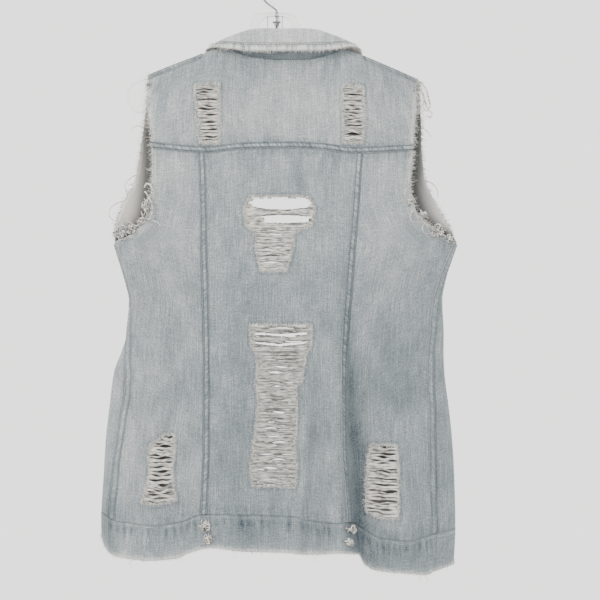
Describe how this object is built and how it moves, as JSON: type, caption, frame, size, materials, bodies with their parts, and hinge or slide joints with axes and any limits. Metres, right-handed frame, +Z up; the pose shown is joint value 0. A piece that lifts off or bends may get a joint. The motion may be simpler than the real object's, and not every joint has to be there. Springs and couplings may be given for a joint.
{
  "type": "denim vest on a hanger",
  "caption": "Sleeveless hip-length denim vest, collared, with a back yoke, ripped panels and raw frayed armholes and hem, hanging open on a clear hanger with a wire hook.",
  "frame": {"origin": "inside top of the hanger's hook, where a rail bears", "axes": "+Z up, +Y out of the garment's back (the side in the picture), -Y out of its front, +X to the wearer's left"},
  "size_m": [0.5164, 0.1012, 0.8689],
  "materials": {
    "denim": "light-wash twill, worn and matt",
    "denim_seam": "felled denim seams, a shade darker",
    "weft": "loose white weft threads and fray",
    "clear_plastic": "clear moulded plastic",
    "steel": "dull plated wire",
    "button_metal": "aged shank buttons"
  },
  "bodies": {
    "root": {"back_yoke": "denim", "back_centre_panel": "denim", "back_side_panel_left": "denim", "back_side_panel_right": "denim", "front_panel_left": "denim", "front_panel_right": "denim", "hem_band_back": "denim", "hem_band_front_left": "denim", "hem_band_front_right": "denim", "collar_fall": "denim", "front_band_left": "denim", "front_band_right": "denim", "collar_stand": "denim_seam", "yoke_seam": "denim_seam", "shoulder_seam_left": "denim_seam", "shoulder_seam_right": "denim_seam", "princess_seam_left": "denim_seam", "princess_seam_right": "denim_seam", "side_seam_left": "denim_seam", "side_seam_right": "denim_seam", "rip_threads_yoke_left": "weft", "rip_threads_yoke_right": "weft", "rip_threads_upper": "weft", "rip_threads_lower": "weft", "rip_threads_low_left": "weft", "rip_threads_low_right": "weft", "collar_fray": "weft", "hem_fray_back": "weft", "hem_fray_front_left": "weft", "hem_fray_front_right": "weft", "armhole_fray_back_left": "weft", "armhole_fray_front_left": "weft", "armhole_fray_back_right": "weft", "armhole_fray_front_right": "weft", "button_1": "button_metal", "button_2": "button_metal", "button_3": "button_metal", "button_4": "button_metal", "button_5": "button_metal", "button_6": "button_metal", "hanger_body": "clear_plastic", "hook_ferrule": "steel", "hanger_hook": "steel"}
  },
  "joints": []
}
